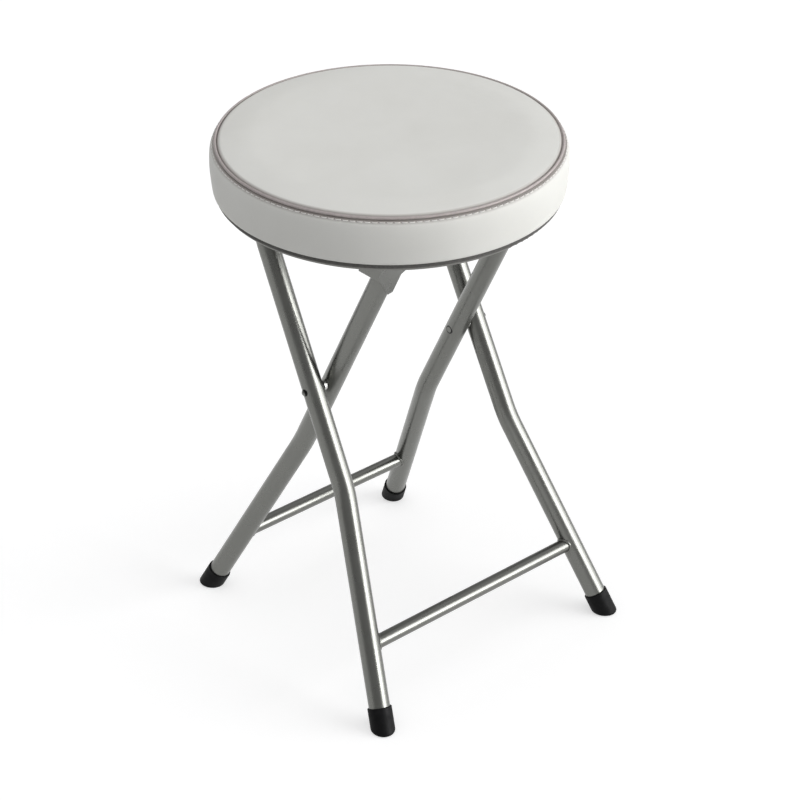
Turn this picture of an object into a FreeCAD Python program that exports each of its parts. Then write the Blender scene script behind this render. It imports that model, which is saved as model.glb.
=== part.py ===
import FreeCAD
import Part
import Sketcher
import math
import os

# Round folding stool, in millimetres and degrees, +Z up and the front towards -Y.
# The origin lies on the floor under the middle of the footprint.
doc = FreeCAD.newDocument("folding_stool")
sizes = doc.addObject("Spreadsheet::Sheet", "Sizes")

DRIVING = {
    # Steel tubes of the two leg frames
    "tube_dia": 19.1,
    "tube_wall": 1.2,
    "stretcher_dia": 12.7,
    "stretcher_wall": 1.0,
    "weld_gap": 0.1,
    # Seat across its widest part, and its axis behind the middle of the footprint
    "seat_dia": 310.0,
    "seat_y": 3.15,
    # Crossing of the frames, ahead of the seat's axis, and the top bars in from the pan's edge
    "pivot_height": 269.7,
    "pivot_lead": 8.82,
    "hinge_inset": 78.37,
    "catch_inset": 63.49,
    "inner_pivot_half": 73.1,
    "leg_gap": 3.2,
    # Shape of each frame in its own plane
    "outer_taper": 1.05,
    "inner_taper": 0.64,
    "leg_flare": 10.75,
    "outer_bend_drop": 94.6,
    "inner_bend_drop": 91.4,
    "leg_bend_radius": 120.0,
    "outer_corner_radius": 38.0,
    "inner_corner_radius": 30.0,
    "outer_stretcher_height": 65.7,
    "inner_stretcher_height": 69.0,
    # Rubber foot caps
    "cap_fit": 0.05,
    "cap_wall": 1.3,
    "cap_height": 21.0,
    "cap_base": 9.5,
    "cap_lip": 0.7,
    "sole_round": 1.8,
    # Pivot rivets, each with a thick end set flush into the inner leg, and the bushes between the legs
    "rivet_dia": 4.5,
    "rivet_fit": 0.08,
    "rivet_head_dia": 6.5,
    "rivet_head_rise": 2.2,
    "post_dia": 7.8,
    "post_recess": 0.3,
    "bush_dia": 9.5,
    "head_seat": 0.2,
    "side_play": 0.3,
    # Pressed steel pan under the seat
    "pan_height": 430.0,
    "pan_inset": 6.6,
    "pan_sheet": 1.2,
    "pan_corner": 2.2,
    "pan_lip": 1.4,
    # Cushion: board, foam, sewn cover and piping
    "board_thickness": 5.0,
    "cover_sheet": 1.0,
    "soft_gap": 0.1,
    "tuck_gap": 0.4,
    "ledge_gap": 0.6,
    "ledge_drop": 0.2,
    "ledge_inset": 2.5,
    "edge_round": 2.0,
    "bulge_rise": 30.0,
    "hem_width": 8.5,
    "piping_dia": 2.8,
    "piping_inset": 6.3,
    "piping_rise": 48.9,
    "seam_gap": 0.2,
    "shoulder_inset": 18.0,
    "shoulder_lift": 2.8,
    "crown_lift": 1.1,
    # Straps that hold the outer frame's top bar as the seat's hinge
    "bar_gap": 0.3,
    "strap_offset": 38.0,
    "strap_width": 20.0,
    "strap_sheet": 2.0,
    "strap_fit": 0.1,
    "strap_flange": 15.0,
    # Catches that stop the inner frame's top bar at the front
    "catch_sheet": 2.0,
    "catch_gap": 0.4,
    "tongue_drop": 32.5,
    "tongue_inner": 4.4,
    "tongue_outer": 24.0,
    "tongue_tip": 0.3,
    "tongue_nose": 1.5,
    "wing_height": 15.0,
    "cheek_drop": 17.5,
    "cheek_rear": 28.0,
    "flange_outer": 12.0,
    "flange_length": 15.0,
    # Screws from below into the board
    "screw_dia": 3.5,
    "screw_fit": 0.05,
    "screw_head_dia": 8.0,
    "screw_head_height": 2.0,
    "screw_bite": 4.0,
    "board_screw_inset": 38.4,
}

LAYOUT = {
    "tube_radius": "tube_dia / 2",
    "tube_bore": "tube_radius - tube_wall",
    "stretcher_radius": "stretcher_dia / 2",
    "stretcher_bore": "stretcher_radius - stretcher_wall",
    "cope_radius": "tube_radius + weld_gap",
    "bar_rise": "tube_radius + bar_gap",
    "bar_height": "pan_height - bar_rise",
    "outer_pivot_half": "inner_pivot_half + tube_dia + leg_gap",
    "cap_bore": "tube_radius + cap_fit",
    "cap_radius": "cap_bore + cap_wall",
    "cap_shoulder": "cap_radius - cap_lip",
    "cap_side": "cap_height - cap_lip",
    "rivet_radius": "rivet_dia / 2",
    "rivet_hole": "rivet_radius + rivet_fit",
    "rivet_head_radius": "rivet_head_dia / 2",
    "rivet_dome": "(rivet_head_radius ^ 2 + rivet_head_rise ^ 2) / (2 * rivet_head_rise)",
    "post_radius": "post_dia / 2",
    "post_hole": "post_radius + rivet_fit",
    "post_span": "2 * inner_pivot_half",
    "post_inner": "inner_pivot_half - tube_radius + post_recess",
    "post_outer": "inner_pivot_half + sqrt(tube_bore ^ 2 - post_radius ^ 2) - rivet_fit",
    "rivet_outer": "outer_pivot_half + tube_radius + head_seat",
    "rivet_outer_end": "rivet_outer + rivet_head_rise",
    "bush_radius": "bush_dia / 2",
    "bush_inner": "inner_pivot_half + tube_radius + side_play",
    "bush_outer": "outer_pivot_half - tube_radius - head_seat",
    # Lean of each frame, from the place of its top bar under the pan
    "seat_radius": "seat_dia / 2",
    "pan_radius": "seat_radius - pan_inset",
    "pivot_y": "seat_y - pivot_lead",
    "hinge_offset": "pan_radius - hinge_inset",
    "catch_offset": "pan_radius - catch_inset",
    "outer_bar_y": "seat_y + hinge_offset",
    "inner_bar_y": "seat_y - catch_offset",
    "outer_lean": "atan((hinge_offset + pivot_lead) / (bar_height - pivot_height)) / 1 deg",
    "inner_lean": "atan((catch_offset - pivot_lead) / (bar_height - pivot_height)) / 1 deg",
    # Pan, from its underside at the seat's axis
    "pan_floor": "pan_radius - pan_corner",
    "pan_inner": "pan_radius - pan_sheet",
    "pan_corner_inner": "pan_corner - pan_sheet",
    "board_bottom": "pan_sheet + cover_sheet",
    "board_top": "board_bottom + board_thickness",
    "ledge_rise": "board_top - ledge_drop",
    "pan_depth": "ledge_rise - ledge_gap",
    "pan_lip_radius": "pan_radius + pan_lip",
    "pan_lip_under": "pan_depth - pan_sheet",
    # Cushion, in the pan's coordinates
    "tuck_outer": "pan_inner - tuck_gap",
    "tuck_inner": "tuck_outer - cover_sheet",
    "tuck_round": "pan_corner_inner + tuck_gap / 2",
    "tuck_floor": "tuck_outer - tuck_round",
    "tuck_wall": "pan_sheet + tuck_round",
    "board_radius": "tuck_inner - soft_gap",
    "hem_radius": "tuck_outer - hem_width",
    "ledge_top": "ledge_rise + cover_sheet",
    "ledge_radius": "seat_radius - ledge_inset",
    "ledge_edge": "ledge_radius - edge_round",
    "ledge_side": "ledge_rise + edge_round",
    "ledge_inner": "ledge_radius - cover_sheet",
    "bulge_inner": "seat_radius - cover_sheet",
    "piping_radius": "piping_dia / 2",
    "piping_ring": "seat_radius - piping_inset",
    "seam_radius": "piping_ring + seam_gap",
    "seam_inner": "seam_radius - cover_sheet",
    "seam_rise": "piping_rise - piping_radius - seam_gap",
    "low_curve": "((bulge_rise - ledge_side) ^ 2 + (seat_radius - ledge_radius) ^ 2)"
                 " / (2 * (seat_radius - ledge_radius))",
    "low_curve_inner": "((bulge_rise - ledge_top) ^ 2 + (bulge_inner - ledge_inner) ^ 2)"
                       " / (2 * (bulge_inner - ledge_inner))",
    "high_curve": "((seam_rise - bulge_rise) ^ 2 + (seat_radius - seam_radius) ^ 2)"
                  " / (2 * (seat_radius - seam_radius))",
    "panel_radius": "piping_ring - piping_radius - seam_gap",
    "panel_rise": "piping_rise - seam_gap",
    "panel_under": "panel_rise - cover_sheet",
    "shoulder_radius": "seat_radius - shoulder_inset",
    "shoulder_rise": "panel_rise + shoulder_lift",
    "crown_rise": "shoulder_rise + crown_lift",
    "shoulder_under": "shoulder_rise - cover_sheet",
    "crown_under": "crown_rise - cover_sheet",
    "shoulder_curve": "((panel_radius - shoulder_radius) ^ 2 + (shoulder_rise - panel_rise) ^ 2)"
                      " / (2 * (shoulder_rise - panel_rise))",
    "crown_curve": "(shoulder_radius ^ 2 + (crown_rise - shoulder_rise) ^ 2)"
                   " / (2 * (crown_rise - shoulder_rise))",
    "foam_ledge": "ledge_inner - soft_gap",
    "foam_ledge_rise": "ledge_top + soft_gap",
    "foam_bulge": "bulge_inner - soft_gap",
    "foam_seam": "seam_inner - soft_gap",
    "foam_panel": "panel_under - soft_gap",
    "foam_shoulder": "shoulder_under - soft_gap",
    "foam_crown": "crown_under - soft_gap",
    "foam_low_curve": "((bulge_rise - foam_ledge_rise) ^ 2 + (foam_bulge - foam_ledge) ^ 2)"
                      " / (2 * (foam_bulge - foam_ledge))",
    # Hinge straps, from the axis of the outer top bar
    "strap_inner": "tube_radius + strap_fit",
    "strap_outer": "strap_inner + strap_sheet",
    "strap_end": "strap_outer + strap_flange",
    "strap_under": "bar_rise - strap_sheet",
    "strap_screw_reach": "strap_outer + strap_flange / 2",
    "strap_screw_length": "strap_sheet + board_bottom + screw_bite",
    "strap_screw_rear": "hinge_offset + strap_screw_reach",
    "strap_screw_front": "hinge_offset - strap_screw_reach",
    # Catches, from the axis of the inner top bar
    "catch_reach": "tube_radius + catch_gap",
    "tongue_top": "(bar_rise + catch_reach * sin(inner_lean)) / cos(inner_lean)",
    "tongue_side": "tongue_drop - tongue_nose",
    "wing_base": "tongue_top - wing_height",
    "cheek_reach": "catch_reach + catch_sheet / 2",
    "cheek_front_top": "(cheek_reach + bar_rise * sin(inner_lean)) / cos(inner_lean)",
    "cheek_front_low": "(cheek_reach - cheek_drop * sin(inner_lean)) / cos(inner_lean)",
    "flange_root": "(catch_reach + bar_rise * sin(inner_lean)) / cos(inner_lean)",
    "flange_front": "flange_root + flange_length",
    "flange_under": "bar_rise - catch_sheet",
    "catch_screw_x": "(flange_outer - tongue_inner) / 2",
    "catch_screw_y": "flange_root + catch_sheet + (flange_length - catch_sheet) / 2",
    "catch_screw_length": "catch_sheet + board_bottom + screw_bite",
    "catch_screw_half": "inner_top_half + catch_screw_x",
    "catch_screw_seat": "catch_offset + catch_screw_y",
    # Screws
    "screw_radius": "screw_dia / 2",
    "screw_hole": "screw_radius + screw_fit",
    "screw_head_radius": "screw_head_dia / 2",
    "board_screw_radius": "pan_radius - board_screw_inset",
    "board_screw_length": "board_bottom + screw_bite",
}

# Shape of each frame in its plane, from the pivot: reach up to the top bar, drop down to the floor
FRAME_LAYOUT = {
    "{0}_reach": "(bar_height - pivot_height) / cos({0}_lean)",
    "{0}_drop": "pivot_height / cos({0}_lean)",
    "{0}_top_half": "{0}_pivot_half - {0}_reach * tan({0}_taper)",
    "{0}_bend_half": "{0}_pivot_half + {0}_bend_drop * tan({0}_taper)",
    "{0}_foot_half": "{0}_bend_half + ({0}_drop - {0}_bend_drop) * tan(leg_flare)",
    "{0}_end_half": "{0}_foot_half - cap_base * sin(leg_flare)",
    "{0}_end_drop": "{0}_drop - cap_base * cos(leg_flare)",
    "{0}_stretcher_drop": "(pivot_height - {0}_stretcher_height) / cos({0}_lean)",
    "{0}_stretcher_half": "{0}_bend_half + ({0}_stretcher_drop - {0}_bend_drop) * tan(leg_flare)",
    "{0}_stretcher_span": "2 * {0}_stretcher_half",
}


def fill_sheet():
    rows = {name: str(value) for name, value in DRIVING.items()}
    rows.update({name: "=" + formula for name, formula in LAYOUT.items()})
    for frame in ("outer", "inner"):
        for name, formula in FRAME_LAYOUT.items():
            rows[name.format(frame)] = "=" + formula.format(frame)
    for row, name in enumerate(rows, 1):
        sizes.set(f"A{row}", name)
        sizes.setAlias(f"B{row}", name)
    for row, content in enumerate(rows.values(), 1):
        sizes.set(f"B{row}", content)
    doc.recompute()


def number(name):
    """Value of a named size, which may carry a minus sign."""
    value = sizes.get(name.lstrip("-"))
    value = float(getattr(value, "Value", value))
    return -value if name.startswith("-") else value


def cell(name):
    return "-Sizes." + name[1:] if name.startswith("-") else "Sizes." + name


def placed(x="0", y="0", z="0", axis="0; 0; 1", angle="0"):
    return f"placement(vector({x}; {y}; {z}); rotation(vector({axis}); {angle}))"


def frame_plane(frame):
    """Placement whose XY plane is the frame's plane, with the pivot at its origin."""
    tilt = "90 - Sizes.outer_lean" if frame == "outer" else "90 + Sizes.inner_lean"
    return placed("0", "Sizes.pivot_y", "Sizes.pivot_height", "1; 0; 0", tilt)


def new_body(label, placement):
    body = doc.addObject("PartDesign::Body", label)
    body.Label = label
    body.setExpression("Placement", placement)
    return body


def origin_plane(body, role):
    return next(plane for plane in body.Origin.OriginFeatures if plane.Role == role)


def new_sketch(body, role, offset=None):
    sketch = body.newObject("Sketcher::SketchObject", body.Label + "_sketch")
    sketch.AttachmentSupport = [(origin_plane(body, role), "")]
    sketch.MapMode = "FlatFace"
    if offset:
        sketch.setExpression("AttachmentOffset", offset)
    return sketch


def bind(sketch, constraint, expression):
    index = sketch.addConstraint(constraint)
    sketch.renameConstraint(index, f"size_{index}")
    sketch.setExpression(f"Constraints.size_{index}", expression)


def locate(sketch, geometry, point, x, y):
    """Tie a point to its named distances from the sketch's origin."""
    for axis, kind, name in ((-2, "DistanceX", x), (-1, "DistanceY", y)):
        if name == "0":
            sketch.addConstraint(Sketcher.Constraint("PointOnObject", geometry, point, axis))
            continue
        distance = number(name)
        if distance > 0:
            bind(sketch, Sketcher.Constraint(kind, -1, 1, geometry, point, distance), cell(name))
        else:
            bind(sketch, Sketcher.Constraint(kind, geometry, point, -1, 1, -distance), f"-({cell(name)})")


def vector(x, y):
    return FreeCAD.Vector(0 if x == "0" else number(x), 0 if y == "0" else number(y), 0)


UPRIGHT = FreeCAD.Vector(0, 0, 1)
START, END, CENTRE = 1, 2, 3


def arc_between(start, end, radius, turn):
    """Arc shorter than a half circle that turns left or right on its way from start to end."""
    chord = end - start
    side = FreeCAD.Vector(-chord.y, chord.x, 0).normalize() * (1 if turn == "left" else -1)
    height = math.sqrt(max(radius ** 2 - (chord.Length / 2) ** 2, 0))
    centre = start + chord * 0.5 + side * height
    first, last = (start, end) if turn == "left" else (end, start)
    angles = [math.atan2(point.y - centre.y, point.x - centre.x) for point in (first, last)]
    return Part.ArcOfCircle(Part.Circle(centre, UPRIGHT, radius), *angles)


def outline(sketch, corners):
    """Closed outline; a corner with a radius and a turn starts an arc, the others a straight edge."""
    points = [vector(corner[0], corner[1]) for corner in corners]
    edges = []
    for index, corner in enumerate(corners):
        start, end = points[index], points[(index + 1) % len(points)]
        if len(corner) == 2:
            edges.append((sketch.addGeometry(Part.LineSegment(start, end)), START, END))
            continue
        arc = sketch.addGeometry(arc_between(start, end, number(corner[2]), corner[3]))
        edges.append((arc, START, END) if corner[3] == "left" else (arc, END, START))
    for index, (edge, start, end) in enumerate(edges):
        following = edges[(index + 1) % len(edges)]
        sketch.addConstraint(Sketcher.Constraint("Coincident", edge, end, following[0], following[1]))
    for (edge, start, end), corner in zip(edges, corners):
        locate(sketch, edge, start, corner[0], corner[1])
        if len(corner) > 2:
            bind(sketch, Sketcher.Constraint("Radius", edge, number(corner[2])), cell(corner[2]))


def rounded_path(sketch, corners):
    """Open path of straight runs, with a tangent arc at each corner that has a radius."""
    points = [vector(corner[0], corner[1]) for corner in corners]
    starts, ends = [points[0]], []
    for before, here, after, corner in zip(points, points[1:], points[2:], corners[1:]):
        inward = (before - here).normalize()
        onward = (after - here).normalize()
        setback = number(corner[2]) / math.tan(inward.getAngle(onward) / 2)
        ends.append(here + inward * setback)
        starts.append(here + onward * setback)
    ends.append(points[-1])
    runs = [sketch.addGeometry(Part.LineSegment(start, end)) for start, end in zip(starts, ends)]
    for index, corner in enumerate(corners[1:-1]):
        turn = (points[index + 1] - points[index]).cross(points[index + 2] - points[index + 1]).z
        side = "left" if turn > 0 else "right"
        arc = sketch.addGeometry(arc_between(ends[index], starts[index + 1], number(corner[2]), side))
        near, far = (START, END) if side == "left" else (END, START)
        sketch.addConstraint(Sketcher.Constraint("Tangent", runs[index], END, arc, near))
        sketch.addConstraint(Sketcher.Constraint("Tangent", arc, far, runs[index + 1], START))
        bind(sketch, Sketcher.Constraint("Radius", arc, number(corner[2])), cell(corner[2]))
        vertex = sketch.addGeometry(Part.Point(points[index + 1]), True)
        for run in runs[index:index + 2]:
            sketch.addConstraint(Sketcher.Constraint("PointOnObject", vertex, START, run))
        locate(sketch, vertex, START, corner[0], corner[1])
    locate(sketch, runs[0], START, corners[0][0], corners[0][1])
    locate(sketch, runs[-1], END, corners[-1][0], corners[-1][1])


def circles(sketch, radius, centres):
    for x, y in centres:
        circle = sketch.addGeometry(Part.Circle(vector(x, y), UPRIGHT, number(radius)))
        bind(sketch, Sketcher.Constraint("Radius", circle, number(radius)), cell(radius))
        locate(sketch, circle, CENTRE, x, y)


def feature(body, kind, sketch, **settings):
    made = body.newObject("PartDesign::" + kind, body.Label + "_" + kind.lower())
    made.Profile = sketch
    for name, value in settings.items():
        setattr(made, name, value)
    return made


def pad(body, sketch, length, **settings):
    made = feature(body, "Pad", sketch, **settings)
    made.setExpression("Length", cell(length))
    return made


def revolve(body, sketch, axis):
    return feature(body, "Revolution", sketch, ReferenceAxis=(sketch, [axis]), Angle=360)


def drill(body, sketch, span=None):
    """Holes either way from the sketch, right through or over a span; they must take metal away."""
    doc.recompute()
    before = body.Shape.Volume
    holes = feature(body, "Pocket", sketch, Type="Length" if span else "ThroughAll", SideType="Symmetric")
    if span:
        holes.setExpression("Length", cell(span))
    doc.recompute()
    if body.Shape.Volume >= before:
        raise RuntimeError(body.Label + ": the holes cut nothing")


def mirror(body, originals):
    made = body.newObject("PartDesign::Mirrored", body.Label + "_mirrored")
    made.Originals = originals
    made.MirrorPlane = (origin_plane(body, "YZ_Plane"), [""])
    body.Tip = made


# Bent tube of a leg frame: top bar, two corners, upper legs and flared lower legs
def frame_tube(frame):
    body = new_body(frame + "_frame_tube", frame_plane(frame))
    section = new_sketch(body, "YZ_Plane")
    circles(section, "tube_radius", [(frame + "_reach", "0")])
    circles(section, "tube_bore", [(frame + "_reach", "0")])
    path = new_sketch(body, "XY_Plane")
    rounded_path(path, [
        ("0", frame + "_reach"),
        (frame + "_top_half", frame + "_reach", frame + "_corner_radius"),
        (frame + "_bend_half", f"-{frame}_bend_drop", "leg_bend_radius"),
        (frame + "_end_half", f"-{frame}_end_drop"),
    ])
    doc.recompute()
    tube = feature(body, "AdditivePipe", section, Spine=path)
    mirror(body, [tube])
    holes = new_sketch(body, "YZ_Plane")
    circles(holes, "rivet_hole", [("0", "0")])
    drill(body, holes)
    if frame == "inner":
        wells = new_sketch(body, "YZ_Plane")
        circles(wells, "post_hole", [("0", "0")])
        drill(body, wells, "post_span")
    return body


# Stretcher between the lower legs, its ends coped round the leg tubes
def stretcher(frame):
    body = new_body(frame + "_stretcher", frame_plane(frame))
    section = new_sketch(body, "YZ_Plane")
    for radius in ("stretcher_radius", "stretcher_bore"):
        circles(section, radius, [(f"-{frame}_stretcher_drop", "0")])
    pad(body, section, frame + "_stretcher_span", SideType="Symmetric")
    along_leg = placed(f"Sizes.{frame}_stretcher_half", f"-Sizes.{frame}_stretcher_drop",
                       angle="Sizes.leg_flare")
    cope = new_sketch(body, "XY_Plane", along_leg)
    outline(cope, [
        ("0", "-stretcher_dia"),
        ("0", "stretcher_dia"),
        ("-cope_radius", "stretcher_dia"),
        ("-cope_radius", "-stretcher_dia"),
    ])
    doc.recompute()
    groove = feature(body, "Groove", cope, ReferenceAxis=(cope, ["V_Axis"]), Angle=360)
    mirror(body, [groove])
    return body


# Rubber cap over a tube end, cut flat where it stands on the floor
def foot_cap(frame, side, floor):
    sign = "-" if side == "left" else ""
    label = f"{frame}_foot_{side}"
    at_foot = placed(f"{sign}Sizes.{frame}_foot_half", f"-Sizes.{frame}_drop",
                     angle=f"{sign}Sizes.leg_flare")
    body = new_body(label + "_turned", f"{frame_plane(frame)} * {at_foot}")
    section = new_sketch(body, "XY_Plane")
    outline(section, [
        ("0", "-cap_radius"),
        ("cap_radius", "-cap_radius"),
        ("cap_radius", "cap_side", "cap_lip", "left"),
        ("cap_shoulder", "cap_height"),
        ("cap_bore", "cap_height"),
        ("cap_bore", "cap_base"),
        ("0", "cap_base"),
    ])
    doc.recompute()
    revolve(body, section, "V_Axis")
    trimmed = doc.addObject("Part::Cut", label + "_trimmed")
    trimmed.Base = body
    trimmed.Tool = floor
    doc.recompute()
    cap = doc.addObject("Part::Fillet", label)
    cap.Label = label
    cap.Base = trimmed
    sole = [index for index, edge in enumerate(trimmed.Shape.Edges, 1) if abs(edge.BoundBox.ZMax) < 0.01]
    cap.Edges = [(index, number("sole_round"), number("sole_round")) for index in sole]
    return cap


# Rivet with a domed head on the outer leg and a thick end flush in the inner leg
def pivot_rivet(side):
    turn = "180" if side == "left" else "0"
    body = new_body("pivot_rivet_" + side, placed("0", "Sizes.pivot_y", "Sizes.pivot_height", angle=turn))
    section = new_sketch(body, "XY_Plane")
    outline(section, [
        ("post_inner", "0"),
        ("post_inner", "post_radius"),
        ("post_outer", "post_radius"),
        ("post_outer", "rivet_radius"),
        ("rivet_outer", "rivet_radius"),
        ("rivet_outer", "rivet_head_radius", "rivet_dome", "right"),
        ("rivet_outer_end", "0"),
    ])
    doc.recompute()
    revolve(body, section, "H_Axis")
    return body


# Bush that keeps the crossing legs apart
def pivot_bush(side):
    turn = "180" if side == "left" else "0"
    body = new_body("pivot_bush_" + side, placed("0", "Sizes.pivot_y", "Sizes.pivot_height", angle=turn))
    section = new_sketch(body, "XY_Plane")
    outline(section, [
        ("bush_inner", "rivet_hole"),
        ("bush_outer", "rivet_hole"),
        ("bush_outer", "bush_radius"),
        ("bush_inner", "bush_radius"),
    ])
    doc.recompute()
    revolve(body, section, "H_Axis")
    return body


AT_PAN = placed("0", "Sizes.seat_y", "Sizes.pan_height")
AT_OUTER_BAR = placed("0", "Sizes.outer_bar_y", "Sizes.bar_height")
AT_INNER_BAR = placed("0", "Sizes.inner_bar_y", "Sizes.bar_height")

STRAP_SCREWS = [
    ("-strap_offset", "strap_screw_front"),
    ("-strap_offset", "strap_screw_rear"),
    ("strap_offset", "strap_screw_front"),
    ("strap_offset", "strap_screw_rear"),
]
CATCH_SCREWS = [(x, "-catch_screw_seat") for x in ("-catch_screw_half", "catch_screw_half")]
BOARD_SCREWS = [
    ("board_screw_radius", "0"),
    ("-board_screw_radius", "0"),
    ("0", "board_screw_radius"),
    ("0", "-board_screw_radius"),
]


# Shallow steel dish under the seat, with an out-turned rim
def seat_pan():
    body = new_body("seat_pan", AT_PAN)
    section = new_sketch(body, "XZ_Plane")
    outline(section, [
        ("0", "0"),
        ("pan_floor", "0", "pan_corner", "left"),
        ("pan_radius", "pan_corner"),
        ("pan_radius", "pan_lip_under"),
        ("pan_lip_radius", "pan_lip_under"),
        ("pan_lip_radius", "pan_depth"),
        ("pan_inner", "pan_depth"),
        ("pan_inner", "pan_corner", "pan_corner_inner", "right"),
        ("pan_floor", "pan_sheet"),
        ("0", "pan_sheet"),
    ])
    doc.recompute()
    revolve(body, section, "V_Axis")
    holes = new_sketch(body, "XY_Plane")
    circles(holes, "screw_hole", STRAP_SCREWS + CATCH_SCREWS + BOARD_SCREWS)
    drill(body, holes)
    return body


# Plywood disc in the pan, with pilot holes for the screws
def seat_board():
    body = new_body("seat_board", AT_PAN)
    disc = new_sketch(body, "XY_Plane", placed(z="Sizes.board_bottom"))
    circles(disc, "board_radius", [("0", "0")])
    pad(body, disc, "board_thickness")
    holes = new_sketch(body, "XY_Plane")
    circles(holes, "screw_hole", STRAP_SCREWS + CATCH_SCREWS + BOARD_SCREWS)
    drill(body, holes)
    return body


# Foam disc that fills the cover, crowned on top and drawn in at its edges
def foam_pad():
    body = new_body("foam_pad", AT_PAN)
    section = new_sketch(body, "XZ_Plane")
    outline(section, [
        ("0", "board_top"),
        ("board_radius", "board_top"),
        ("board_radius", "foam_ledge_rise"),
        ("foam_ledge", "foam_ledge_rise", "foam_low_curve", "left"),
        ("foam_bulge", "bulge_rise", "high_curve", "left"),
        ("foam_seam", "seam_rise"),
        ("panel_radius", "foam_panel", "shoulder_curve", "left"),
        ("shoulder_radius", "foam_shoulder", "crown_curve", "left"),
        ("0", "foam_crown"),
    ])
    doc.recompute()
    revolve(body, section, "V_Axis")
    return body


# Side band of the cover, bulging out and tucked into the pan under the board
def cover_band():
    body = new_body("cover_band", AT_PAN)
    section = new_sketch(body, "XZ_Plane")
    outline(section, [
        ("hem_radius", "pan_sheet"),
        ("tuck_floor", "pan_sheet", "tuck_round", "left"),
        ("tuck_outer", "tuck_wall"),
        ("tuck_outer", "ledge_rise"),
        ("ledge_edge", "ledge_rise", "edge_round", "left"),
        ("ledge_radius", "ledge_side", "low_curve", "left"),
        ("seat_radius", "bulge_rise", "high_curve", "left"),
        ("seam_radius", "seam_rise"),
        ("seam_inner", "seam_rise", "high_curve", "right"),
        ("bulge_inner", "bulge_rise", "low_curve_inner", "right"),
        ("ledge_inner", "ledge_top"),
        ("tuck_inner", "ledge_top"),
        ("tuck_inner", "board_bottom"),
        ("hem_radius", "board_bottom"),
    ])
    doc.recompute()
    revolve(body, section, "V_Axis")
    return body


# Top panel of the cover, slightly crowned
def cover_top():
    body = new_body("cover_top", AT_PAN)
    section = new_sketch(body, "XZ_Plane")
    outline(section, [
        ("0", "crown_under", "crown_curve", "right"),
        ("shoulder_radius", "shoulder_under", "shoulder_curve", "right"),
        ("panel_radius", "panel_under"),
        ("panel_radius", "panel_rise", "shoulder_curve", "left"),
        ("shoulder_radius", "shoulder_rise", "crown_curve", "left"),
        ("0", "crown_rise"),
    ])
    doc.recompute()
    revolve(body, section, "V_Axis")
    return body


# Piping sewn into the seam between the top panel and the band
def piping():
    body = new_body("piping", AT_PAN)
    section = new_sketch(body, "XZ_Plane")
    circles(section, "piping_radius", [("piping_ring", "piping_rise")])
    doc.recompute()
    revolve(body, section, "V_Axis")
    return body


# Saddle strap that carries the outer top bar under the pan
def hinge_strap(side):
    sign = "-" if side == "left" else ""
    body = new_body("hinge_strap_" + side,
                    placed(f"{sign}Sizes.strap_offset", "Sizes.outer_bar_y", "Sizes.bar_height"))
    section = new_sketch(body, "YZ_Plane")
    outline(section, [
        ("-strap_end", "bar_rise"),
        ("-strap_end", "strap_under"),
        ("-strap_outer", "strap_under"),
        ("-strap_outer", "0", "strap_outer", "left"),
        ("0", "-strap_outer", "strap_outer", "left"),
        ("strap_outer", "0"),
        ("strap_outer", "strap_under"),
        ("strap_end", "strap_under"),
        ("strap_end", "bar_rise"),
        ("strap_inner", "bar_rise"),
        ("strap_inner", "0", "strap_inner", "right"),
        ("0", "-strap_inner", "strap_inner", "right"),
        ("-strap_inner", "0"),
        ("-strap_inner", "bar_rise"),
    ])
    doc.recompute()
    pad(body, section, "strap_width", SideType="Symmetric")
    holes = new_sketch(body, "XY_Plane")
    circles(holes, "screw_hole", [("0", "strap_screw_reach"), ("0", "-strap_screw_reach")])
    drill(body, holes)
    return body


# Catch pressed from sheet: flange under the pan, tapered tongue before the leg, cheek beside it
def catch_bracket(side):
    out = "-" if side == "left" else ""
    back = "" if side == "left" else "-"
    body = new_body("catch_bracket_" + side,
                    placed(f"{out}Sizes.inner_top_half", "Sizes.inner_bar_y", "Sizes.bar_height"))
    before_leg = placed("0", "-Sizes.catch_reach * sin(Sizes.inner_lean)",
                        "Sizes.catch_reach * cos(Sizes.inner_lean)", "1; 0; 0", "Sizes.inner_lean")
    tongue = new_sketch(body, "XZ_Plane", before_leg)
    outline(tongue, [
        (back + "tongue_inner", "tongue_top"),
        (back + "tongue_inner", "-tongue_side"),
        (out + "tongue_tip", "-tongue_drop"),
        (out + "tongue_outer", "wing_base"),
        (out + "tongue_outer", "tongue_top"),
    ])
    doc.recompute()
    pad(body, tongue, "catch_sheet")
    flange = new_sketch(body, "XY_Plane", placed(z="Sizes.flange_under"))
    outline(flange, [
        (back + "tongue_inner", "-flange_root"),
        (back + "tongue_inner", "-flange_front"),
        (out + "flange_outer", "-flange_front"),
        (out + "flange_outer", "-flange_root"),
    ])
    doc.recompute()
    pad(body, flange, "catch_sheet")
    cheek = new_sketch(body, "YZ_Plane", placed(z=f"{out}Sizes.catch_reach"))
    outline(cheek, [
        ("-cheek_front_top", "bar_rise"),
        ("-cheek_front_low", "-cheek_drop"),
        ("cheek_rear", "-cheek_drop"),
        ("cheek_rear", "bar_rise"),
    ])
    doc.recompute()
    pad(body, cheek, "catch_sheet", Reversed=side == "left")
    holes = new_sketch(body, "XY_Plane")
    circles(holes, "screw_hole", [(out + "catch_screw_x", "-catch_screw_y")])
    drill(body, holes)
    return body


# Screws with flat heads, driven upwards into the board
def screw_group(label, placement, under, length, centres):
    body = new_body(label, placement)
    below = new_sketch(body, "XY_Plane", placed(z=under))
    circles(below, "screw_head_radius", centres)
    doc.recompute()
    pad(body, below, "screw_head_height", Reversed=True)
    shanks = new_sketch(body, "XY_Plane", placed(z=under))
    circles(shanks, "screw_radius", centres)
    doc.recompute()
    pad(body, shanks, length)
    return body


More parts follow.
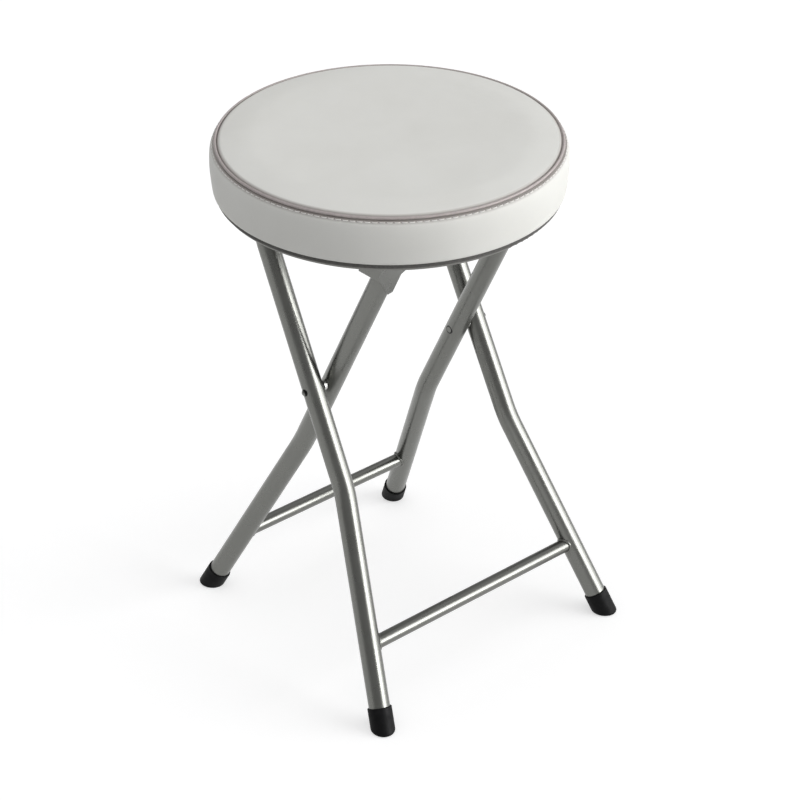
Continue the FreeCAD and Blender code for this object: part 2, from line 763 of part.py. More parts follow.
# Block below the floor, which trims the foot caps
def floor_block():
    block = doc.addObject("Part::Box", "floor_block")
    block.setExpression("Length", "4 * Sizes.outer_foot_half")
    block.setExpression("Width", "4 * Sizes.outer_foot_half")
    block.setExpression("Height", "4 * Sizes.cap_radius")
    block.setExpression("Placement", placed("-2 * Sizes.outer_foot_half", "-2 * Sizes.outer_foot_half",
                                            "-4 * Sizes.cap_radius"))
    return block


fill_sheet()
floor = floor_block()
nodes = []
for frame in ("outer", "inner"):
    nodes.append(frame_tube(frame))
    nodes.append(stretcher(frame))
    for side in ("left", "right"):
        nodes.append(foot_cap(frame, side, floor))
for side in ("left", "right"):
    nodes += [pivot_rivet(side), pivot_bush(side), hinge_strap(side), catch_bracket(side)]
nodes += [seat_pan(), seat_board(), foam_pad(), cover_band(), cover_top(), piping()]
nodes.append(screw_group("strap_screws", AT_PAN, "-Sizes.strap_sheet", "strap_screw_length", STRAP_SCREWS))
nodes.append(screw_group("catch_screws", AT_PAN, "-Sizes.catch_sheet", "catch_screw_length", CATCH_SCREWS))
nodes.append(screw_group("board_screws", AT_PAN, "0", "board_screw_length", BOARD_SCREWS))
doc.recompute()

for made in doc.Objects:
    if "Invalid" in made.State or "Error" in made.State:
        raise RuntimeError(f"{made.Label} failed to build: {made.State}")
for node in nodes:
    if node.Shape.isNull() or not node.Shape.isValid() or not node.Shape.Solids:
        raise RuntimeError(node.Label + " has no valid solid")

os.makedirs("parts", exist_ok=True)
for node in nodes:
    node.Shape.exportStep(f"parts/{node.Label}.step")
    box = node.Shape.BoundBox
    print(f"{node.Label}: {len(node.Shape.Solids)} solids, {node.Shape.Volume:.0f} mm3,"
          f" X {box.XMin:.1f} {box.XMax:.1f}, Y {box.YMin:.1f} {box.YMax:.1f},"
          f" Z {box.ZMin:.1f} {box.ZMax:.1f}")
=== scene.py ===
import bpy
import math
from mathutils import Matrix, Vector


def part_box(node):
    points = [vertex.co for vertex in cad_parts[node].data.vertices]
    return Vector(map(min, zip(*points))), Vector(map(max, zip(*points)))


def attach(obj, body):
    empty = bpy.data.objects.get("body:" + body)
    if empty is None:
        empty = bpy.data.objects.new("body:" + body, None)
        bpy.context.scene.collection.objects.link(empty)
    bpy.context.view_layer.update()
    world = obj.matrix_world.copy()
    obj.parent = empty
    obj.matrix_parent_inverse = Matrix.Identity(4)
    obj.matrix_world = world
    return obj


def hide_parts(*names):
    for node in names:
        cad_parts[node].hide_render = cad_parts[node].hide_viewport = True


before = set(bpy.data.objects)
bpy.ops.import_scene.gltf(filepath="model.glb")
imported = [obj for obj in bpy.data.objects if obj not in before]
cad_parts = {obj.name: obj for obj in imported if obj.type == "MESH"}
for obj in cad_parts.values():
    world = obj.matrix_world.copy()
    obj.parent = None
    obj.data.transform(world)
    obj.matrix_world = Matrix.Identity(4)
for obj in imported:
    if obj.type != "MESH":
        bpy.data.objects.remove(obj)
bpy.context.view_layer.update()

# Leg frames: two bent steel tubes that cross like scissors, each with a thinner stretcher between its lower legs.
# They are bent cold from furniture tube, welded, and sprayed with a satin silver paint that shows a fine orange peel.
SILVER = (0.195, 0.197, 0.184)
SILVER_DULL = (0.162, 0.164, 0.153)


def new_material(name):
    """Material with its node tree, its shader and its object coordinates."""
    material = bpy.data.materials.new(name)
    material.use_nodes = True
    tree = material.node_tree
    shader = tree.nodes["Principled BSDF"]
    place = tree.nodes.new("ShaderNodeTexCoord")
    return material, tree, shader, place.outputs["Object"]


def grain(tree, place, scale, detail=3.0, stretch=(1, 1, 1)):
    """Noise in object coordinates, so many grains to the metre."""
    mapping = tree.nodes.new("ShaderNodeMapping")
    mapping.inputs["Scale"].default_value = stretch
    tree.links.new(place, mapping.inputs["Vector"])
    texture = tree.nodes.new("ShaderNodeTexNoise")
    texture.inputs["Scale"].default_value = scale
    texture.inputs["Detail"].default_value = detail
    tree.links.new(mapping.outputs["Vector"], texture.inputs["Vector"])
    return texture.outputs["Fac"]


def spread(tree, value, low, high, start=0.3, end=0.7):
    """A value's range from start to end, spread from low to high."""
    ramp = tree.nodes.new("ShaderNodeMapRange")
    ramp.inputs["From Min"].default_value = start
    ramp.inputs["From Max"].default_value = end
    ramp.inputs["To Min"].default_value = low
    ramp.inputs["To Max"].default_value = high
    tree.links.new(value, ramp.inputs["Value"])
    return ramp.outputs["Result"]


def two_tone(tree, value, first, second):
    """Colour that goes from first to second with the value."""
    mix = tree.nodes.new("ShaderNodeMix")
    mix.data_type = "RGBA"
    for socket, colour in ((6, first), (7, second)):
        if isinstance(colour, tuple):
            mix.inputs[socket].default_value = (*colour, 1)
        else:
            tree.links.new(colour, mix.inputs[socket])
    tree.links.new(value, mix.inputs["Factor"])
    return mix.outputs[2]


def raise_grain(tree, shader, value, height, below=None):
    """Bump of the given height in metres, on top of another bump where there is one."""
    bump = tree.nodes.new("ShaderNodeBump")
    bump.inputs["Distance"].default_value = height
    tree.links.new(value, bump.inputs["Height"])
    if below:
        tree.links.new(below, bump.inputs["Normal"])
    tree.links.new(bump.outputs["Normal"], shader.inputs["Normal"])
    return bump.outputs["Normal"]


def paint_node(name, material):
    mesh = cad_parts[name].data
    mesh.materials.clear()
    mesh.materials.append(material)


silver, tree, shader, place = new_material("satin_silver_paint")
shader.inputs["Metallic"].default_value = 0.9
flakes = two_tone(tree, spread(tree, grain(tree, place, 2600, 2), 0, 1), SILVER_DULL, SILVER)
tree.links.new(flakes, shader.inputs["Base Color"])
tree.links.new(spread(tree, grain(tree, place, 60), 0.25, 0.32), shader.inputs["Roughness"])
raise_grain(tree, shader, grain(tree, place, 420, 1), 0.00003)
for name in ("outer_frame_tube", "outer_stretcher", "inner_frame_tube", "inner_stretcher"):
    paint_node(name, silver)

# Weld beads: a ring of filler metal round each end of a stretcher, where it is let against the leg.
# Each bead is laid by hand, so it is thicker where it was begun, on the upper side, and is painted with the frame.
STRETCHER_RADIUS = 0.00635
BEAD_REACH = 0.0004
BEAD_THICKNESS = 0.0013
BEAD_POINTS = 40


def finish_with(piece, kind, **settings):
    """Adds a modifier, sets it and applies it."""
    modifier = piece.modifiers.new(kind.title(), kind)
    for name, value in settings.items():
        setattr(modifier, name, value)
    bpy.context.view_layer.objects.active = piece
    bpy.ops.object.modifier_apply(modifier=modifier.name)


def weld_bead(name, stretcher, leg, side):
    """Ring of points round the stretcher's end, pressed sideways onto the leg and rounded into a bead."""
    low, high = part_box(stretcher)
    radius = STRETCHER_RADIUS + BEAD_REACH
    middle = (low + high) / 2
    bpy.ops.object.select_all(action="DESELECT")
    bpy.ops.mesh.primitive_circle_add(vertices=BEAD_POINTS, radius=radius, rotation=(0, math.pi / 2, 0),
                                      location=(side * (high.x - 0.02), middle.y, middle.z))
    bead = bpy.context.object
    bead.name = name
    bpy.ops.object.transform_apply(location=True, rotation=True, scale=True)
    finish_with(bead, "SHRINKWRAP", target=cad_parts[leg], wrap_method="PROJECT", use_project_x=True,
                use_positive_direction=side > 0, use_negative_direction=side < 0, project_limit=0.05)
    bpy.ops.object.convert(target="CURVE")
    bead.data.bevel_depth = BEAD_THICKNESS
    bead.data.bevel_resolution = 2
    for index, point in enumerate(bead.data.splines[0].points):
        rise = (point.co.z - middle.z) / radius
        point.radius = 0.75 + 0.45 * max(rise, 0) + 0.12 * math.sin(7 * index) * math.cos(3 * index + side)
    bpy.ops.object.convert(target="MESH")
    bpy.ops.object.shade_smooth()
    bead.data.materials.clear()
    bead.data.materials.append(silver)
    return bead


for body in ("outer", "inner"):
    for side, hand in ((-1, "left"), (1, "right")):
        bead = weld_bead(f"{body}_weld_{hand}", body + "_stretcher", body + "_frame_tube", side)
        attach(bead, body + "_frame")

# Foot caps: black rubber caps moulded to the tube and pushed over its end, with a flat sole.
# The rubber is matt, a little scuffed and never quite even in its gloss.
RUBBER = (0.004, 0.004, 0.0043)
RUBBER_SCUFF = (0.009, 0.009, 0.0095)
rubber, tree, shader, place = new_material("black_cap_rubber")
scuffs = two_tone(tree, spread(tree, grain(tree, place, 140), 0, 1), RUBBER, RUBBER_SCUFF)
tree.links.new(scuffs, shader.inputs["Base Color"])
shader.inputs["Specular IOR Level"].default_value = 0.1
tree.links.new(spread(tree, grain(tree, place, 90), 0.42, 0.62), shader.inputs["Roughness"])
raise_grain(tree, shader, grain(tree, place, 1500, 2), 0.00004)
for name in ("outer_foot_left", "outer_foot_right", "inner_foot_left", "inner_foot_right"):
    paint_node(name, rubber)

# Pivots: a domed steel rivet through each pair of crossing legs and a bush that keeps them apart.
# They are headed and turned in steel; the bushes are zinc-plated, and the rivets were painted over with the frames.
# A painted shade darkens the rivets' rims, most of it at the front and upper side, where the gap round each rivet
# falls into shadow.
ZINC = (0.70, 0.70, 0.68)
ZINC_DULL = (0.55, 0.55, 0.53)
zinc, tree, shader, place = new_material("zinc_plate")
shader.inputs["Metallic"].default_value = 1.0
plating = two_tone(tree, spread(tree, grain(tree, place, 500), 0, 1), ZINC_DULL, ZINC)
tree.links.new(plating, shader.inputs["Base Color"])
tree.links.new(spread(tree, grain(tree, place, 800), 0.30, 0.44), shader.inputs["Roughness"])
raise_grain(tree, shader, grain(tree, place, 1200, 2), 0.00002)
for name in ("pivot_bush_left", "pivot_bush_right"):
    paint_node(name, zinc)
# Painted shade: a near-black ring at each rivet's rim, set off-centre so it is widest at the front and upper side,
# for the shadow gap round the rivet.
RIVET_PAINTED_SHADE = (0.012, 0.012, 0.012)
RIVET_UNSHADED_TO = 0.0026
RIVET_SHADED_FROM = 0.0031
RIVET_SHADE_OFFSET = Vector((0, 0.0006, -0.0003))
low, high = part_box("pivot_rivet_left")
rivet_paint, tree, shader, place = new_material("rivet_paint_with_painted_shade_edge")
shader.inputs["Metallic"].default_value = 0.9
on_axis = tree.nodes.new("ShaderNodeMapping")
on_axis.inputs["Location"].default_value = -(low + high) / 2 - RIVET_SHADE_OFFSET
on_axis.inputs["Location"].default_value.x = 0
on_axis.inputs["Scale"].default_value = (0, 1, 1)
tree.links.new(place, on_axis.inputs["Vector"])
from_axis = tree.nodes.new("ShaderNodeVectorMath")
from_axis.operation = "LENGTH"
tree.links.new(on_axis.outputs["Vector"], from_axis.inputs[0])
# Mask of the painted shade: dark beyond a given distance from the shifted rivet axis.
rivet_shade_mask = spread(tree, from_axis.outputs["Value"], 0, 1, RIVET_UNSHADED_TO, RIVET_SHADED_FROM)
tree.links.new(two_tone(tree, rivet_shade_mask, SILVER, RIVET_PAINTED_SHADE), shader.inputs["Base Color"])
tree.links.new(spread(tree, grain(tree, place, 300), 0.28, 0.38), shader.inputs["Roughness"])
raise_grain(tree, shader, grain(tree, place, 900, 2), 0.00003)
for name in ("pivot_rivet_left", "pivot_rivet_right"):
    paint_node(name, rivet_paint)

# Seat pan with its hinge straps and catches: pressed steel sheet, painted like the legs but a little more matt.
# The straps hold the rear bar as the hinge, and the catches stop the front bar; both are screwed to the board.
PAN_GREY = (0.215, 0.213, 0.200)
PAN_GREY_DULL = (0.180, 0.178, 0.168)
pan_paint, tree, shader, place = new_material("grey_pan_paint")
shader.inputs["Metallic"].default_value = 0.7
flakes = two_tone(tree, spread(tree, grain(tree, place, 1800, 2), 0, 1), PAN_GREY_DULL, PAN_GREY)
tree.links.new(flakes, shader.inputs["Base Color"])
tree.links.new(spread(tree, grain(tree, place, 40), 0.42, 0.52), shader.inputs["Roughness"])
raise_grain(tree, shader, grain(tree, place, 380, 1), 0.00004)
paint_node("seat_pan", pan_paint)
for name in ("hinge_strap_left", "hinge_strap_right", "catch_bracket_left", "catch_bracket_right"):
    paint_node(name, silver)

# Screws: pan-head wood screws with a cross recess, driven from below through the straps, catches and pan.
# They are zinc-plated steel, and only their heads show under the seat.
HEAD_RADIUS = 0.0040
HEAD_HEIGHT = 0.0020
SHANK_RADIUS = 0.0017
RECESS_LENGTH = 0.0046
RECESS_WIDTH = 0.0009
RECESS_DEPTH = 0.0011


def screw_at(place_of_head, length):
    """One screw, its head's lowest point at the place given and its shank upwards."""
    bpy.ops.object.select_all(action="DESELECT")
    bpy.ops.mesh.primitive_cylinder_add(vertices=28, radius=HEAD_RADIUS, depth=HEAD_HEIGHT,
                                        location=place_of_head + Vector((0, 0, HEAD_HEIGHT / 2)))
    screw = bpy.context.object
    bpy.ops.object.transform_apply(location=True, rotation=True, scale=True)
    bpy.ops.object.mode_set(mode="EDIT")
    bpy.ops.mesh.select_mode(type="FACE")
    bpy.ops.mesh.select_all(action="DESELECT")
    bpy.ops.object.mode_set(mode="OBJECT")
    for face in screw.data.polygons:
        face.select = face.normal.z > 0.9
    bpy.ops.object.mode_set(mode="EDIT")
    bpy.ops.mesh.inset(thickness=HEAD_RADIUS - SHANK_RADIUS)
    bpy.ops.mesh.extrude_region_move(TRANSFORM_OT_translate={"value": (0, 0, length)})
    bpy.ops.mesh.select_all(action="DESELECT")
    bpy.ops.object.mode_set(mode="OBJECT")
    for face in screw.data.polygons:
        face.select = face.normal.z < -0.9
    bpy.ops.object.mode_set(mode="EDIT")
    bpy.ops.mesh.bevel(offset=HEAD_HEIGHT * 0.75, segments=4, affect="EDGES")
    bpy.ops.object.mode_set(mode="OBJECT")
    for turn in (math.radians(20), math.radians(110)):
        bpy.ops.mesh.primitive_cube_add(size=1, location=place_of_head, rotation=(0, 0, turn),
                                        scale=(RECESS_LENGTH, RECESS_WIDTH, 2 * RECESS_DEPTH))
        slot_cutter = bpy.context.object
        bpy.ops.object.transform_apply(location=True, rotation=True, scale=True)
        finish_with(screw, "BOOLEAN", operation="DIFFERENCE", solver="EXACT", object=slot_cutter)
        bpy.data.objects.remove(slot_cutter)
    return screw


def copies_at(screw, moves, name):
    """Copies of a screw, each moved and with a mesh of its own, joined with it into one group."""
    made = [screw]
    for move in moves:
        bpy.ops.object.select_all(action="DESELECT")
        screw.select_set(True)
        bpy.context.view_layer.objects.active = screw
        bpy.ops.object.duplicate()
        copy = bpy.context.object
        copy.location = move
        bpy.ops.object.transform_apply(location=True, rotation=True, scale=True)
        made.append(copy)
    bpy.ops.object.select_all(action="DESELECT")
    for copy in made:
        copy.select_set(True)
    bpy.context.view_layer.objects.active = screw
    bpy.ops.object.join()
    bpy.ops.object.shade_smooth_by_angle(angle=math.radians(35))
    screw.name = name
    screw.data.materials.clear()
    screw.data.materials.append(zinc)
    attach(screw, "seat")


for name, node, in_cross in (("strap_screw_set", "strap_screws", False), ("catch_screw_set", "catch_screws", False),
                             ("board_screw_set", "board_screws", True)):
    low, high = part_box(node)
    shank = high.z - low.z - HEAD_HEIGHT
    near = low + Vector((HEAD_RADIUS, HEAD_RADIUS, 0))
    across, along = high.x - low.x - 2 * HEAD_RADIUS, high.y - low.y - 2 * HEAD_RADIUS
    if in_cross:
        first = near + Vector((0, along / 2, 0))
        moves = [(across, 0, 0), (across / 2, along / 2, 0), (across / 2, -along / 2, 0)]
    else:
        first = near
        moves = [(across, 0, 0)] + ([(0, along, 0), (across, along, 0)] if along > HEAD_RADIUS else [])
    copies_at(screw_at(first, shank), moves, name)
    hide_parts(node)

# Seat board: a plywood disc that lies in the pan under the foam, hidden once the seat is closed.
# Its faces are raw rotary-cut veneer.
PLY_PALE = (0.56, 0.42, 0.26)
PLY_DARK = (0.44, 0.31, 0.18)
plywood, tree, shader, place = new_material("raw_plywood")
veneer = two_tone(tree, spread(tree, grain(tree, place, 30, 4, (1, 12, 1)), 0, 1), PLY_DARK, PLY_PALE)
tree.links.new(veneer, shader.inputs["Base Color"])
tree.links.new(spread(tree, grain(tree, place, 200), 0.6, 0.8), shader.inputs["Roughness"])
raise_grain(tree, shader, grain(tree, place, 90, 3, (1, 10, 1)), 0.0001)
paint_node("seat_board", plywood)

# Cushion: an off-white leathercloth cover sewn from a round top panel and a side band, drawn over a foam disc.
# The band swells a little between its top seam and the edge that is tucked into the pan; the foam presses it tight.
# The leathercloth is painted darker in and near the crease of the seam: painted shade where the groove and the band's
# upper edge fall into shadow.
PAN_MIDDLE = (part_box("seat_pan")[0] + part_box("seat_pan")[1]) / 2
SEAT_AXIS = Vector((PAN_MIDDLE.x, PAN_MIDDLE.y, 0))
PAN_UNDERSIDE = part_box("seat_pan")[0].z
VINYL = (0.82, 0.82, 0.785)
VINYL_SHADE = (0.785, 0.783, 0.745)
COVER_PROFILE_MM = (
    (0, 7.4), (70, 7.4), (130, 7.4), (146, 7.3), (149.4, 7.05), (150.7, 7.05), (151.6, 7.45), (152.2, 8.2),
    (152.5, 9.2), (152.7, 11.5), (153.05, 15), (153.45, 19), (153.8, 23), (154.05, 27), (154.15, 31), (154.05, 34.5),
    (153.9, 37.8), (153.65, 40.5), (153.3, 42.5), (152.8, 44.1), (152.2, 45.0), (151.4, 45.75), (150.5, 46.25),
    (149.8, 46.45), (148.9, 46.6), (147.8, 46.9), (147.0, 47.4), (146.9, 48.0), (146.9, 48.7), (146.6, 49.4),
    (146.0, 49.95), (145, 50.45), (143, 50.9), (140.5, 51.3), (137.5, 51.55), (134, 51.7), (129, 51.8), (122, 51.85),
    (113, 51.9), (103, 51.9), (92, 51.95), (80, 52.0), (67, 52.0), (53, 52.0), (38, 52.05), (20, 52.1), (0, 52.1),
)
# Painted shade in the seam's crease: full within the first distance of the seam ring, fading out by the second.
SEAM_RING = 0.1490
SEAM_RISE = 0.0480
SEAM_SHADE_FULL_TO = 0.0024
SEAM_SHADE_FADES_BY = 0.0056
SEAM_PAINTED_SHADE = (0.44, 0.41, 0.39)
PRESSURE = 4.0
SWELL_MOST = 0.0006
SIMULATED_FRAMES = 20


def turn_profile(name, profile_mm, steps):
    """Solid of revolution about the seat's axis, drawn as a chain of extruded points and spun."""
    bpy.ops.object.select_all(action="DESELECT")
    bpy.ops.mesh.primitive_plane_add(size=0.01)
    piece = bpy.context.object
    piece.name = name
    bpy.ops.object.mode_set(mode="EDIT")
    bpy.ops.mesh.select_mode(type="VERT")
    bpy.ops.mesh.select_all(action="SELECT")
    bpy.ops.mesh.merge(type="CENTER")
    at = Vector((0, 0))
    bpy.ops.transform.translate(value=SEAT_AXIS + Vector((0, 0, PAN_UNDERSIDE)))
    for index, point in enumerate(profile_mm):
        move = (Vector(point) - at) / 1000
        at = Vector(point)
        if index == 0:
            bpy.ops.transform.translate(value=(move.x, 0, move.y))
        else:
            bpy.ops.mesh.extrude_vertices_move(TRANSFORM_OT_translate={"value": (move.x, 0, move.y)})
    bpy.ops.mesh.select_all(action="SELECT")
    bpy.ops.mesh.spin(steps=steps, angle=2 * math.pi, center=SEAT_AXIS, axis=(0, 0, 1))
    bpy.ops.mesh.select_all(action="SELECT")
    bpy.ops.mesh.remove_doubles(threshold=0.00002)
    bpy.ops.mesh.normals_make_consistent(inside=False)
    bpy.ops.object.mode_set(mode="OBJECT")
    bpy.ops.object.transform_apply(location=True, rotation=True, scale=True)
    return piece


def swell(piece):
    """Foam pressure on the cover, held at its seam and its tucked edge, with the movement of each point capped."""
    start = [vertex.co.copy() for vertex in piece.data.vertices]
    sewn = piece.vertex_groups.new(name="sewn")
    for vertex in piece.data.vertices:
        out = (vertex.co - SEAT_AXIS).xy.length
        rise = vertex.co.z - PAN_UNDERSIDE
        if rise < 0.0095 or (rise > 0.0440 and out > 0.1445):
            sewn.add([vertex.index], 1.0, "REPLACE")
    cloth = piece.modifiers.new("foam_pressure", "CLOTH")
    cloth.settings.vertex_group_mass = "sewn"
    cloth.settings.use_pressure = True
    cloth.settings.uniform_pressure_force = PRESSURE
    cloth.settings.effector_weights.gravity = 0
    cloth.point_cache.frame_start = 1
    cloth.point_cache.frame_end = SIMULATED_FRAMES
    for step in range(1, SIMULATED_FRAMES + 1):
        bpy.context.scene.frame_set(step)
    bpy.context.view_layer.objects.active = piece
    bpy.ops.object.modifier_apply(modifier=cloth.name)
    bpy.context.scene.frame_set(1)
    for vertex, before in zip(piece.data.vertices, start):
        moved = vertex.co - before
        if moved.length > SWELL_MOST:
            vertex.co = before + moved * (SWELL_MOST / moved.length)
    piece.vertex_groups.clear()


def distance_from_ring(tree, place, ring, rise):
    """Distance of a point from a level ring about the seat's axis."""
    centred = tree.nodes.new("ShaderNodeMapping")
    centred.inputs["Location"].default_value = -SEAT_AXIS - Vector((0, 0, rise))
    tree.links.new(place, centred.inputs["Vector"])
    split = tree.nodes.new("ShaderNodeSeparateXYZ")
    tree.links.new(centred.outputs["Vector"], split.inputs["Vector"])
    flat = tree.nodes.new("ShaderNodeCombineXYZ")
    tree.links.new(split.outputs["X"], flat.inputs["X"])
    tree.links.new(split.outputs["Y"], flat.inputs["Y"])
    out = tree.nodes.new("ShaderNodeVectorMath")
    out.operation = "LENGTH"
    tree.links.new(flat.outputs["Vector"], out.inputs[0])
    beyond = tree.nodes.new("ShaderNodeMath")
    beyond.operation = "SUBTRACT"
    beyond.inputs[1].default_value = ring
    tree.links.new(out.outputs["Value"], beyond.inputs[0])
    across = tree.nodes.new("ShaderNodeCombineXYZ")
    tree.links.new(beyond.outputs["Value"], across.inputs["X"])
    tree.links.new(split.outputs["Z"], across.inputs["Y"])
    distance = tree.nodes.new("ShaderNodeVectorMath")
    distance.operation = "LENGTH"
    tree.links.new(across.outputs["Vector"], distance.inputs[0])
    return distance.outputs["Value"]


cushion = turn_profile("cushion_cover", COVER_PROFILE_MM, 160)
swell(cushion)
finish_with(cushion, "SUBSURF", levels=1, render_levels=1)
bpy.ops.object.shade_smooth()

vinyl, tree, shader, place = new_material("off_white_leathercloth")
shader.inputs["Specular IOR Level"].default_value = 0.12
tones = two_tone(tree, spread(tree, grain(tree, place, 14, 4), 0, 1), VINYL_SHADE, VINYL)
seam = distance_from_ring(tree, place, SEAM_RING, PAN_UNDERSIDE + SEAM_RISE)
# Painted shade: the leathercloth is darkened near the seam ring, for the crease and the band's upper edge.
tones = two_tone(tree, spread(tree, seam, 0, 1, SEAM_SHADE_FULL_TO, SEAM_SHADE_FADES_BY), SEAM_PAINTED_SHADE, tones)
tree.links.new(tones, shader.inputs["Base Color"])
tree.links.new(spread(tree, grain(tree, place, 50), 0.60, 0.70), shader.inputs["Roughness"])
leather = raise_grain(tree, shader, grain(tree, place, 1100, 2), 0.00006)
raise_grain(tree, shader, grain(tree, place, 40, 2), 0.0004, leather)
cushion.data.materials.append(vinyl)
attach(cushion, "seat")
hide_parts("cover_band", "cover_top", "foam_pad")

# Piping: a thin cord wrapped in a pinkish-grey leathercloth, sewn into the seam of the top panel and the band.
# Its two ends meet at the back, where the wrapping is nipped in.
PIPING_RING_MM = 148.7
PIPING_RISE_MM = 48.75
PIPING_RADIUS_MM = 1.2
PIPING_SIDES = 12
PIPING_STEPS = 240
PIPING_PINK = (0.52, 0.468, 0.455)
PIPING_SHADE = (0.44, 0.395, 0.385)
section = [(PIPING_RING_MM + PIPING_RADIUS_MM * math.cos(2 * math.pi * side / PIPING_SIDES),
            PIPING_RISE_MM + PIPING_RADIUS_MM * math.sin(2 * math.pi * side / PIPING_SIDES))
           for side in range(PIPING_SIDES + 1)]
piping = turn_profile("seat_piping", section, PIPING_STEPS)
join = Vector((math.cos(math.radians(105)), math.sin(math.radians(105)), 0))
bpy.ops.object.mode_set(mode="EDIT")
bpy.ops.mesh.select_all(action="DESELECT")
bpy.ops.object.mode_set(mode="OBJECT")
for vertex in piping.data.vertices:
    vertex.select = (vertex.co - SEAT_AXIS).xy.normalized().dot(join.xy) > math.cos(math.radians(0.8))
middle = SEAT_AXIS + join * PIPING_RING_MM / 1000 + Vector((0, 0, PAN_UNDERSIDE + PIPING_RISE_MM / 1000))
bpy.ops.object.mode_set(mode="EDIT")
bpy.ops.transform.resize(value=(0.8, 0.8, 0.8), center_override=middle)
bpy.ops.object.mode_set(mode="OBJECT")
bpy.ops.object.shade_smooth()
wrapping, tree, shader, place = new_material("pinkish_piping_leathercloth")
tones = two_tone(tree, spread(tree, grain(tree, place, 300), 0, 1), PIPING_SHADE, PIPING_PINK)
tree.links.new(tones, shader.inputs["Base Color"])
tree.links.new(spread(tree, grain(tree, place, 200), 0.40, 0.52), shader.inputs["Roughness"])
raise_grain(tree, shader, grain(tree, place, 1600, 2), 0.00005)
piping.data.materials.append(wrapping)
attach(piping, "seat")
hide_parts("piping")

# Stitches: one row of lockstitch in pale thread just below the piping, which holds the band, piping and top panel.
# Each stitch is a short length of thread whose ends dip into the leathercloth.
STITCHES = 157
STITCH_RING = 0.1515
STITCH_RISE = 0.0460
THREAD_RADIUS = 0.00050
STITCH_PATH_MM = ((0.45, 0.35), (0.25, 0.4), (0.1, 0.6), (0.0, 1.7), (-0.1, 0.6), (-0.25, 0.4), (-0.45, 0.35))
THREAD = (0.90, 0.89, 0.86)
THREAD_SHADE = (0.82, 0.81, 0.78)
bpy.ops.object.select_all(action="DESELECT")
bpy.ops.mesh.primitive_circle_add(vertices=6, radius=THREAD_RADIUS, fill_type="NGON", rotation=(math.pi / 2, 0, 0),
                                  location=SEAT_AXIS + Vector((STITCH_RING - 0.0008, -0.0022,
                                                               PAN_UNDERSIDE + STITCH_RISE)))
stitches = bpy.context.object
stitches.name = "seam_stitches"
bpy.ops.object.transform_apply(location=True, rotation=True, scale=True)
bpy.ops.object.mode_set(mode="EDIT")
bpy.ops.mesh.select_mode(type="FACE")
bpy.ops.mesh.select_all(action="SELECT")
for out, along in STITCH_PATH_MM:
    bpy.ops.mesh.extrude_region_move(TRANSFORM_OT_translate={"value": (out / 1000, along / 1000, 0)})
bpy.ops.mesh.select_all(action="SELECT")
bpy.ops.mesh.normals_make_consistent(inside=False)
bpy.ops.mesh.spin(steps=STITCHES - 1, dupli=True, angle=2 * math.pi * (STITCHES - 1) / STITCHES, center=SEAT_AXIS,
                  axis=(0, 0, 1))
bpy.ops.object.mode_set(mode="OBJECT")
bpy.ops.object.shade_smooth()
thread, tree, shader, place = new_material("pale_sewing_thread")
tones = two_tone(tree, spread(tree, grain(tree, place, 2000), 0, 1), THREAD_SHADE, THREAD)
tree.links.new(tones, shader.inputs["Base Color"])
tree.links.new(spread(tree, grain(tree, place, 900), 0.6, 0.8), shader.inputs["Roughness"])
raise_grain(tree, shader, grain(tree, place, 3000, 1), 0.00005)
stitches.data.materials.append(thread)
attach(stitches, "seat")

# Shadow strip: a narrow dark band round the pan's rim, a painted shadow put where the gap between the pan and the
# cushion falls into shade.
# It has the rough, woven look of a tape.
SHADOW_STRIP_PROFILE_MM = ((148.45, 3.3), (150.0, 3.4), (150.25, 3.9), (150.3, 5.2), (150.25, 6.4), (149.9, 6.75),
                     (148.45, 6.8))
# Colours of the painted shadow strip, dark as the shade in the gap.
SHADOW_STRIP_DARK = (0.075, 0.073, 0.068)
SHADOW_STRIP_DULL = (0.105, 0.102, 0.096)
shadow_strip = turn_profile("pan_painted_shadow_strip", SHADOW_STRIP_PROFILE_MM + SHADOW_STRIP_PROFILE_MM[:1], 200)
bpy.ops.object.shade_smooth_by_angle(angle=math.radians(40))
shadow_strip_paint, tree, shader, place = new_material("painted_shadow_strip_tape")
tones = two_tone(tree, spread(tree, grain(tree, place, 700, 2), 0, 1), SHADOW_STRIP_DARK, SHADOW_STRIP_DULL)
tree.links.new(tones, shader.inputs["Base Color"])
tree.links.new(spread(tree, grain(tree, place, 300), 0.7, 0.9), shader.inputs["Roughness"])
raise_grain(tree, shader, grain(tree, place, 1800, 2), 0.0001)
shadow_strip.data.materials.append(shadow_strip_paint)
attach(shadow_strip, "seat")

# Floor and light: a wide sheet of white paper under a broad grey sky, and one low, soft sun-like lamp from the right.
# The paper is a little grey to the light and shown white to the lens, so that it keeps the object's shadow.
# A narrow strip lamp beside the first one gives the painted tubes their bright line and leaves matt surfaces alone.
FLOOR_RADIUS = 30.0
FLOOR_GREY = (0.62, 0.62, 0.62)
FLOOR_LIFT = 0.55
bpy.ops.object.select_all(action="DESELECT")
bpy.ops.mesh.primitive_circle_add(vertices=96, radius=FLOOR_RADIUS, fill_type="NGON")
floor = bpy.context.object
floor.name = "white_paper_floor"
white, tree, shader, place = new_material("white_paper")
shader.inputs["Base Color"].default_value = (*FLOOR_GREY, 1)
tree.links.new(spread(tree, grain(tree, place, 4), 0.85, 0.95), shader.inputs["Roughness"])
shader.inputs["Specular IOR Level"].default_value = 0.1
rays = tree.nodes.new("ShaderNodeLightPath")
seen = tree.nodes.new("ShaderNodeMath")
seen.operation = "MAXIMUM"
tree.links.new(rays.outputs["Is Camera Ray"], seen.inputs[0])
tree.links.new(rays.outputs["Is Glossy Ray"], seen.inputs[1])
shown = tree.nodes.new("ShaderNodeMath")
shown.operation = "MAXIMUM"
tree.links.new(seen.outputs["Value"], shown.inputs[0])
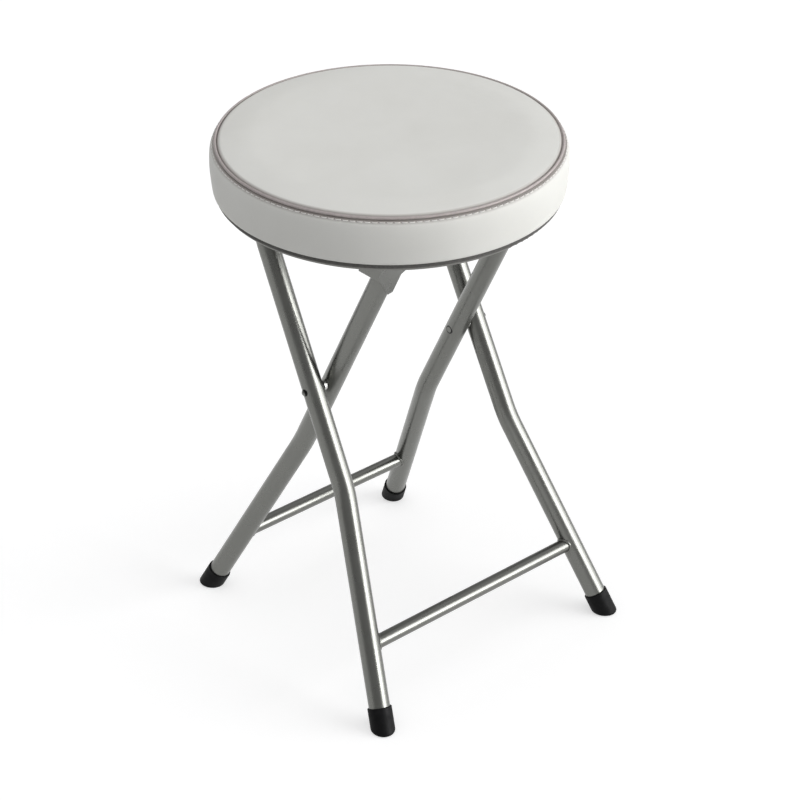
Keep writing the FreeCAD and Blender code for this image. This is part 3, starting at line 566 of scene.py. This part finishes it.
tree.links.new(rays.outputs["Is Transmission Ray"], shown.inputs[1])
lift = tree.nodes.new("ShaderNodeMath")
lift.operation = "MULTIPLY"
lift.inputs[1].default_value = FLOOR_LIFT
tree.links.new(shown.outputs["Value"], lift.inputs[0])
shader.inputs["Emission Color"].default_value = (1, 1, 1, 1)
tree.links.new(lift.outputs["Value"], shader.inputs["Emission Strength"])
floor.data.materials.append(white)

SKY_LOW = (0.29, 0.29, 0.29)
SKY_HIGH = (0.92, 0.92, 0.93)
world = bpy.data.worlds.new("grey_studio")
bpy.context.scene.world = world
world.use_nodes = True
tree = world.node_tree
background = tree.nodes["Background"]
direction = tree.nodes.new("ShaderNodeTexCoord")
parts = tree.nodes.new("ShaderNodeSeparateXYZ")
tree.links.new(direction.outputs["Generated"], parts.inputs["Vector"])
height = tree.nodes.new("ShaderNodeMath")
height.operation = "POWER"
height.inputs[1].default_value = 2
tree.links.new(parts.outputs["Z"], height.inputs[0])
tree.links.new(two_tone(tree, height.outputs["Value"], SKY_LOW, SKY_HIGH), background.inputs["Color"])
background.inputs["Strength"].default_value = 1.0

CAMERA_TURN = math.radians(-40.82)
CAMERA_RISE = math.radians(31.21)
LAMP_TURN = CAMERA_TURN + math.radians(83)
LAMP_RISE = math.radians(9)
STRIP_TURN = CAMERA_TURN + math.radians(64)
STRIP_RISE = math.radians(14)
bpy.ops.object.light_add(type="SUN")
lamp = bpy.context.object
lamp.name = "right_lamp"
lamp.rotation_euler = (math.pi / 2 - LAMP_RISE, 0, LAMP_TURN)
lamp.data.energy = 3.2
lamp.data.angle = math.radians(55)
bpy.ops.object.light_add(type="SUN")
strip = bpy.context.object
strip.name = "strip_lamp_for_metal"
strip.rotation_euler = (math.pi / 2 - STRIP_RISE, 0, STRIP_TURN)
strip.data.energy = 1.2
strip.data.angle = math.radians(30)
strip.visible_diffuse = False

# Camera: a long lens at the photograph's angle.
# It looks at the middle of the stool from the front left, a little down.
CAMERA_DISTANCE = 2.374
CAMERA_TARGET = SEAT_AXIS + Vector((0, 0, 0.230))
back = Vector((math.sin(CAMERA_TURN) * math.cos(CAMERA_RISE), -math.cos(CAMERA_TURN) * math.cos(CAMERA_RISE),
               math.sin(CAMERA_RISE)))
bpy.ops.object.camera_add(location=CAMERA_TARGET + back * CAMERA_DISTANCE,
                          rotation=(math.pi / 2 - CAMERA_RISE, 0, CAMERA_TURN))
camera = bpy.context.object
camera.data.sensor_fit = "HORIZONTAL"
camera.data.sensor_width = 36
camera.data.lens = 118.53
camera.data.shift_x = 0.01321
camera.data.shift_y = -0.01601
bpy.context.scene.camera = camera
bpy.context.scene.view_settings.view_transform = "Standard"
